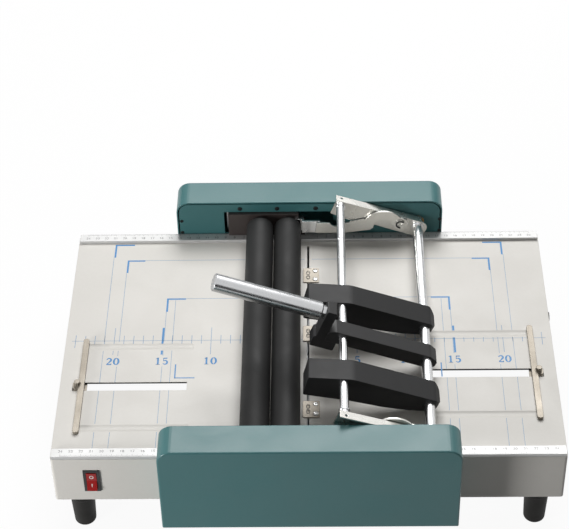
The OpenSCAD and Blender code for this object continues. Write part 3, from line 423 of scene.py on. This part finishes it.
# the printed scale and paper corners on the table, in mm from its middle
tablePrint = {"lift": 0.05, "thick": 2.0, "line": 0.45, "tick": 0.55, "front": -150.5,
              "corners": [(210, 150, 21, 21), (195, 124.2, 19, 20), (149, 63.5, 20, 20.5)],
              "guides": [(210.2, 129), (194.8, 104), (148.6, 43), (139.7, 61)],
              "grooves": {-1: [(-14.6, -1.4), (-128, -116.8), (-71.5, -60)],
                          1: [(1.4, 11.7), (-112.4, -101.6), (-56, -44.5)]},
              "innerMark": {"x": 134.8, "top": -34.8, "low": -54.8, "foot": -114.8, "footY": -54.1,
                            "thick": 1.3},
              "crossLines": [(123.8, 176), (63, 129)], "baseline": 243.8, "clear": 4,
              "numberGap": (-37.5, -22), "numberedGuides": (194.8, 148.6),
              "numbers": [("20", -199.5), ("15", -149.5), ("10", -100), ("5", -50), ("5", 50),
                          ("10", 100), ("15", 148.5), ("20", 199.5)],
              "numberFoot": -35, "letterPitch": 7.4, "letterGap": 0.7,
              "ticks": {"fifth": (19, -20.5), "last": (8.5, -10), "plain": (7.5, -5)},
              "lastTick": 24, "boldTick": 15, "boldWidth": 2.1, "grooveTicks": (12, 22),
              "leftTickLow": -4.6, "shortest": 1}


# a thick mark at each paper corner, and the inner mark
def printCorners(bm, side, lift):
    half = tablePrint["thick"] / 2
    for x, y, across, down in tablePrint["corners"]:
        addStroke(bm, [(side * x, y - half), (side * (x - across), y - half)], 2 * half, lift)
        inner = side * (x - half)
        addStroke(bm, [(inner, y - 2 * half), (inner, y - down)], 2 * half, lift)
    mark = tablePrint["innerMark"]
    addStroke(bm, [(side * mark["x"], mark["top"]), (side * mark["x"], mark["low"])], mark["thick"], lift)
    if side < 0:
        addStroke(bm, [(-mark["x"], mark["footY"]), (mark["foot"], mark["footY"])], mark["thick"], lift)


# thin lines, broken at the grooves, the slot, and behind the numbers
def printGuides(bm, side, lift):
    line, clear = tablePrint["line"], tablePrint["clear"]
    for y, reach in tablePrint["crossLines"]:
        addStroke(bm, [(side * reach, y), (side * clear, y)], line, lift)
    addStroke(bm, [(side * tablePrint["baseline"], 0), (side * clear, 0)], line, lift)
    for x, top in tablePrint["guides"]:
        behind = [tablePrint["numberGap"]] if x in tablePrint["numberedGuides"] else []
        start = top
        for low, high in sorted(tablePrint["grooves"][side] + behind, reverse=True):
            addStroke(bm, [(side * x, start), (side * x, high)], line, lift)
            start = low
        addStroke(bm, [(side * x, start), (side * x, tablePrint["front"])], line, lift)


# a tick for each centimetre, longer at each fifth, in parts where a groove crosses it
def printTicks(bold, fine, side, lift):
    last, ticks = tablePrint["lastTick"], tablePrint["ticks"]
    nearest, farthest = tablePrint["grooveTicks"]
    grooveLow, grooveHigh = tablePrint["grooves"][side][0]
    for step in range(1, last + 1):
        x = side * step * 10
        high, low = ticks["fifth" if step % 5 == 0 else "last" if step == last else "plain"]
        isBold = step == tablePrint["boldTick"]
        if not nearest <= step <= farthest:
            parts = [(high, low)]
        elif side < 0:
            parts = [(high, tablePrint["leftTickLow"])] + ([(grooveLow, low)] if low < grooveLow else [])
        elif grooveHigh < high:
            parts = [(high, max(grooveHigh, low)), (grooveLow, low)]
        else:
            parts = [(grooveLow, low)]
        for top, bottom in parts:
            if top - bottom > tablePrint["shortest"]:
                addStroke(bold if isBold else fine, [(x, top), (x, bottom)],
                          tablePrint["boldWidth"] if isBold else tablePrint["tick"], lift)


def printNumbers(bm, lift):
    pitch, foot = tablePrint["letterPitch"], tablePrint["numberFoot"]
    for text, middle in tablePrint["numbers"]:
        for place, letter in enumerate(text):
            left = middle - pitch * len(text) / 2 + pitch * place + tablePrint["letterGap"]
            for points, widths in boldNumerals[letter]:
                addStroke(bm, [(left + p[0], foot + p[1]) for p in points], widths, lift)


def printTable():
    bold, fine = bmesh.new(), bmesh.new()
    lift = lambda p: onDeck(p.x, p.y, tablePrint["lift"])
    for side in (-1, 1):
        printCorners(bold, side, lift)
        printGuides(fine, side, lift)
        printTicks(bold, fine, side, lift)
    printNumbers(bold, lift)
    newPiece("table_print", bold, "printBlue", "base")
    newPiece("table_lines", fine, "printFine", "base")


printTable()

# ruler strips: millimetre ticks at the outer edge, a number for each centimetre
rulerPrint = {"top": 3.55, "outer": 163.0, "number": 155.3, "size": 0.95, "stroke": 0.38, "tick": 0.22,
              "reach": 24, "deep": (1.3, 2.2, 3.0), "letterPitch": 2.3, "numberHigh": 2.2}


def printRulers():
    size, pitch, reach = rulerPrint["size"], rulerPrint["letterPitch"], rulerPrint["reach"]
    plainTick, halfTick, fullTick = rulerPrint["deep"]
    lift = lambda p: onDeck(p.x, p.y, rulerPrint["top"])
    for name, sign in (("ruler_front", -1), ("ruler_rear", 1)):
        bm = bmesh.new()
        y = sign * rulerPrint["outer"]
        for step in range(-10 * reach, 10 * reach + 1):
            deep = fullTick if step % 10 == 0 else halfTick if step % 5 == 0 else plainTick
            if step:
                addStroke(bm, [(step, y), (step, y - sign * deep)], rulerPrint["tick"], lift)
        base = sign * rulerPrint["number"] - (rulerPrint["numberHigh"] if sign < 0 else 0)
        for step in [*range(-reach, 0), *range(1, reach + 1)]:
            text = str(abs(step))
            for place, letter in enumerate(text):
                left = step * 10 - pitch / 2 * len(text) + pitch * place
                for points in plainNumerals[letter]:
                    addStroke(bm, [(left + p[0] * size, base + p[1] * size) for p in points],
                              rulerPrint["stroke"], lift)
        newPiece(name + "_print", bm, "printGrey", "base")


printRulers()
print("printed marks drawn")


# screws and the switch's marks

# where a small round piece stands: its own z points along axis
def standing(place, axis, turn=0):
    aimed = Vector(axis).to_track_quat("Z", "Y").to_matrix().to_4x4()
    return Matrix.Translation(place) @ aimed @ Matrix.Rotation(math.radians(turn), 4, "Z")


# a turned profile of (radius, height) in mm
def addLathe(bm, profile, stand, steps=24):
    rings = []
    for radius, height in profile:
        turns = [math.tau * i / steps for i in range(steps)] if radius else [0]
        spots = [Vector((radius * math.cos(t), radius * math.sin(t), height)) for t in turns]
        rings.append([bm.verts.new(stand @ (spot * mm)) for spot in spots])
    for first, second in zip(rings, rings[1:]):
        for i in range(steps):
            order = ((first, 0), (first, 1), (second, 1), (second, 0))
            corners = [ring[(i + k) % len(ring)] for ring, k in order]
            bm.faces.new(list(dict.fromkeys(corners)))
    return rings[-1]


# a pan head with a cross recess
def addScrew(bm, stand, across, high):
    radius, deep = across / 2, high * 0.6
    profile = [(radius, 0), (radius, high * 0.4), (radius * 0.92, high * 0.75), (radius * 0.7, high)]
    rim = addLathe(bm, profile, stand)
    far, near = radius * 0.56, radius * 0.15
    plus = [(far, -near), (far, near), (near, near), (near, far), (-near, far), (-near, near),
            (-far, near), (-far, -near), (-near, -near), (-near, -far), (near, -far), (near, -near)]
    upper, lower = [[bm.verts.new(stand @ (Vector((x, y, z)) * mm)) for x, y in plus]
                    for z in (high, high - deep)]
    for i in range(12):
        bm.faces.new((upper[i - 1], upper[i], lower[i], lower[i - 1]))
    bm.faces.new(lower)
    loops = [bm.edges.get((ring[i - 1], ring[i])) for ring in (rim, upper) for i in range(len(ring))]
    bmesh.ops.triangle_fill(bm, use_beauty=True, edges=loops)


screws = {"anvil": {"across": 5.4, "high": 0.9, "x": 7.6, "y": 6.5, "z": 1.2,
                    "stations": {"front": -99.5, "middle": 8, "rear": 97.1}, "turns": {-1: 20, 1: 65}},
          "rail": {"across": 5.0, "high": 1.0, "y": 164, "turn": 30,
                   "places": ((-73.6, 38), (-33.4, 38), (8.4, 38))},
          "plate": {"across": 4.0, "high": 0.8, "y": 164, "turn": 10,
                    "places": ((-137.5, 21.2), (-137.5, 5.3), (143.0, 21.2), (143.0, 5.3))},
          "foot": {"across": 9.0, "high": 3.2, "x": 226, "y": 146, "z": 8, "turn": 15},
          "base": {"across": 6.0, "high": 1.6, "z": -58, "turn": 40,
                   "places": ((-238, -60), (-238, 60), (238, -60), (238, 60), (-60, 152), (60, 152),
                              (60, -152))}}


def addScrews():
    anvil, foot, base = screws["anvil"], screws["foot"], screws["base"]
    for name, middle in anvil["stations"].items():
        bm = bmesh.new()
        for sign, turn in anvil["turns"].items():
            place = onDeck(anvil["x"], middle + sign * anvil["y"], anvil["z"])
            addScrew(bm, standing(place, (0, 0, 1), turn), anvil["across"], anvil["high"])
        newPiece("anvil_screws_" + name, bm, "screwZinc", "base")
    for name, sign in (("front", -1), ("rear", 1)):
        bm = bmesh.new()
        for kind in (screws["rail"], screws["plate"]):
            for x, z in kind["places"]:
                place = onDeck(x, sign * kind["y"], z)
                addScrew(bm, standing(place, (0, -sign, 0), kind["turn"]), kind["across"], kind["high"])
        newPiece("side_screws_" + name, bm, "screwBlackAndShade", "base")
    bm = bmesh.new()
    down = (0, 0, -1)
    for x in (-foot["x"], foot["x"]):
        for y in (-foot["y"], foot["y"]):
            place = Vector((x, y, foot["z"])) * mm
            addScrew(bm, standing(place, down, foot["turn"]), foot["across"], foot["high"])
    for x, y in base["places"]:
        addScrew(bm, standing(onDeck(x, y, base["z"]), down, base["turn"]), base["across"], base["high"])
    newPiece("bottom_screws", bm, "screwZinc", "base")


addScrews()

clinch = {"reach": 3.4, "radii": (1.75, 3.1), "stroke": 0.6, "top": 1.24}
slotEdgeShade = {"left": (-65.5, -237, -122), "right": (-50, 122, 237), "edge": 5.75, "thick": 0.12,
          "top": -0.3, "low": -1.9}
clipAndShade = {"along": -20, "y": 149.85, "radius": 4.4, "stroke": 1.5, "thick": 0.6, "from": 60, "to": 290}


# painted shade: dark rings drawn flat round the anvils' clinch pockets, where shade falls into the pockets
def addClinchRims():
    for name, middle in screws["anvil"]["stations"].items():
        bm = bmesh.new()
        lift = lambda p: onDeck(p.x, p.y, clinch["top"])
        for sign in (-1, 1):
            rim = arcPoints((0, middle + sign * clinch["reach"]), clinch["radii"], 0, 360, 28)
            addStroke(bm, rim, clinch["stroke"], lift)
        newPiece("clinch_pocket_shade_" + name, bm, "screwBlackAndShade", "base")


# painted shade: thin black sheets on the far edges of the stops' slots, where those edges lie in shade
def addSlotLinings():
    for name in ("left", "right"):
        y, start, end = slotEdgeShade[name]
        back = y + slotEdgeShade["edge"]
        bm = bmesh.new()
        corners = [(back - slotEdgeShade["thick"], slotEdgeShade["top"]), (back, slotEdgeShade["top"]), (back, slotEdgeShade["low"]),
                   (back - slotEdgeShade["thick"], slotEdgeShade["low"])]
        addBar(bm, [[onDeck(x, *corner) for corner in corners] for x in (start, end)])
        newPiece("slot_edge_shade_" + name, bm, "screwBlackAndShade", "base")


# open spring clips round the link pins, drawn black as painted shade round each pin
def addClips():
    bow = arcPoints((0, 0), (clipAndShade["radius"], clipAndShade["radius"]), clipAndShade["from"], clipAndShade["to"], 30)
    far, near = clipAndShade["y"], clipAndShade["y"] - clipAndShade["thick"]
    for name, sign in (("front", -1), ("rear", 1)):
        bm = bmesh.new()
        rings = []
        for outer, inner in strokeEdges(bow, clipAndShade["stroke"]):
            corners = ((outer, far), (inner, far), (inner, near), (outer, near))
            rings.append([onFrame(clipAndShade["along"] + p.x, sign * y, p.y) for p, y in corners])
        addBar(bm, rings)
        newPiece("pin_clip_and_shade_" + name, bm, "screwBlackAndShade", "frame")


addClinchRims()
addSlotLinings()
addClips()

rockerMarks = {"place": (-211.5, -162.5, -29.5), "rest": -8, "ring": (1.75, 1.9), "ringAt": 5.4,
               "barAt": 5.2, "bar": 3.4, "stroke": 0.85, "faceY": -2.7, "faceDrop": 2.4, "faceHigh": 11,
               "proud": 0.06}


# the ring and the bar that mark off and on, on the rocker's two faces
def markRocker():
    look = rockerMarks
    turned = Matrix.Translation(onDeck(*look["place"])) @ Matrix.Rotation(
        math.radians(look["rest"]), 4, "X")
    bm = bmesh.new()
    for side in (1, -1):
        run = Vector((0, -look["faceDrop"], side * look["faceHigh"])).normalized()
        out = Vector((0, -look["faceHigh"], -side * look["faceDrop"])).normalized() * look["proud"]
        lift = lambda p: turned @ ((Vector((p.x, look["faceY"], 0)) + run * p.y + out) * mm)
        if side > 0:
            addStroke(bm, arcPoints((0, look["ringAt"]), look["ring"], 0, 360, 24), look["stroke"], lift)
        else:
            ends = [(0, look["barAt"] + half * look["bar"]) for half in (-0.5, 0.5)]
            addStroke(bm, ends, look["stroke"], lift)
    newPiece("rocker_marks", bm, "printWhite", "rocker")


markRocker()
print("screws and switch marks set")


# floor, world and lamps
stage = {"floorSize": 12, "floorTone": 0.22, "floorShown": 1.0, "floorGlow": 0.94, "skyLight": 0.12,
         "cardTone": 0.012, "aim": (0, 0, 0.1),
         "lamps": {"backLamp": ((0.15, 1.15, 1.9), 1.4, 40.0), "sideLamp": ((-1.2, -1.0, 0.3), 0.5, 15.5),
                   "frontLamp": ((0.3, -1.9, 1.7), 1.0, 1.4)},
         "cards": {"cardBack": ((0, 1.7, 0.45), (3.4, 0.5), 0),
                   "cardFront": ((0.35, -0.9, 0.28), (2.3, 0.5), 0),
                   "cardRight": ((0.75, -0.5, 0.2), (1.0, 0.36), 55)}}


# 1 for what a camera, a mirror or a clear thing sees, 0 for light that falls on the object
def seenRay(tree):
    path = addNode(tree, "LightPath").outputs
    larger = {"operation": "MAXIMUM"}
    bounced = addNode(tree, "Math", larger, n0=path["Is Glossy Ray"], n1=path["Is Transmission Ray"])
    return addNode(tree, "Math", larger, n0=path["Is Camera Ray"], n1=bounced.outputs[0]).outputs[0]


def addFloor():
    bpy.ops.mesh.primitive_plane_add(size=stage["floorSize"], location=(0, 0, 0))
    floor = bpy.context.object
    floor.name = "floor"
    paper = bpy.data.materials.new("floorPaper")
    paper.use_nodes = True
    tree = paper.node_tree
    tree.nodes.remove(tree.nodes["Principled BSDF"])
    seen = seenRay(tree)
    shade = addNode(tree, "MapRange", n0=seen, n3=stage["floorTone"], n4=stage["floorShown"]).outputs[0]
    grey = addNode(tree, "CombineColor", n0=shade, n1=shade, n2=shade).outputs[0]
    matt = addNode(tree, "BsdfDiffuse", Color=grey)
    glow = addNode(tree, "Emission", Color=(1, 1, 1, 1), Strength=1.0)
    share = addNode(tree, "Math", {"operation": "MULTIPLY"}, n0=seen, n1=stage["floorGlow"])
    both = addNode(tree, "MixShader", n0=share.outputs[0], n1=matt.outputs[0], n2=glow.outputs[0])
    tree.links.new(both.outputs[0], tree.nodes["Material Output"].inputs["Surface"])
    floor.data.materials.append(paper)


def addWorld():
    world = bpy.data.worlds.new("studio")
    bpy.context.scene.world = world
    world.use_nodes = True
    tree = world.node_tree
    strength = addNode(tree, "MapRange", n0=seenRay(tree), n3=stage["skyLight"], n4=1.0)
    tree.links.new(strength.outputs[0], tree.nodes["Background"].inputs["Strength"])
    tree.nodes["Background"].inputs["Color"].default_value = (1, 1, 1, 1)


def addLamps():
    for name, (place, size, power) in stage["lamps"].items():
        data = bpy.data.lights.new(name, "AREA")
        data.shape, data.size, data.energy = "SQUARE", size, power
        lamp = bpy.data.objects.new(name, data)
        lamp.location = place
        lamp.rotation_euler = (Vector(stage["aim"]) - Vector(place)).to_track_quat("-Z", "Y").to_euler()
        bpy.context.scene.collection.objects.link(lamp)


# black cards beside the object, which give the bright metal something dark to mirror
def addCards():
    black = bpy.data.materials.new("cardBlack")
    black.use_nodes = True
    shader = black.node_tree.nodes["Principled BSDF"]
    shader.inputs["Base Color"].default_value = [stage["cardTone"]] * 3 + [1]
    shader.inputs["Specular IOR Level"].default_value = 0.0
    for name, (place, (wide, high), turn) in stage["cards"].items():
        upright = (math.radians(90), 0, math.radians(turn))
        bpy.ops.mesh.primitive_plane_add(size=1, location=place, rotation=upright)
        card = bpy.context.object
        card.name = name
        card.scale = (wide, high, 1)
        card.data.materials.append(black)
        card.visible_camera = False


addFloor()
addWorld()
addLamps()
addCards()
print("stage lit")
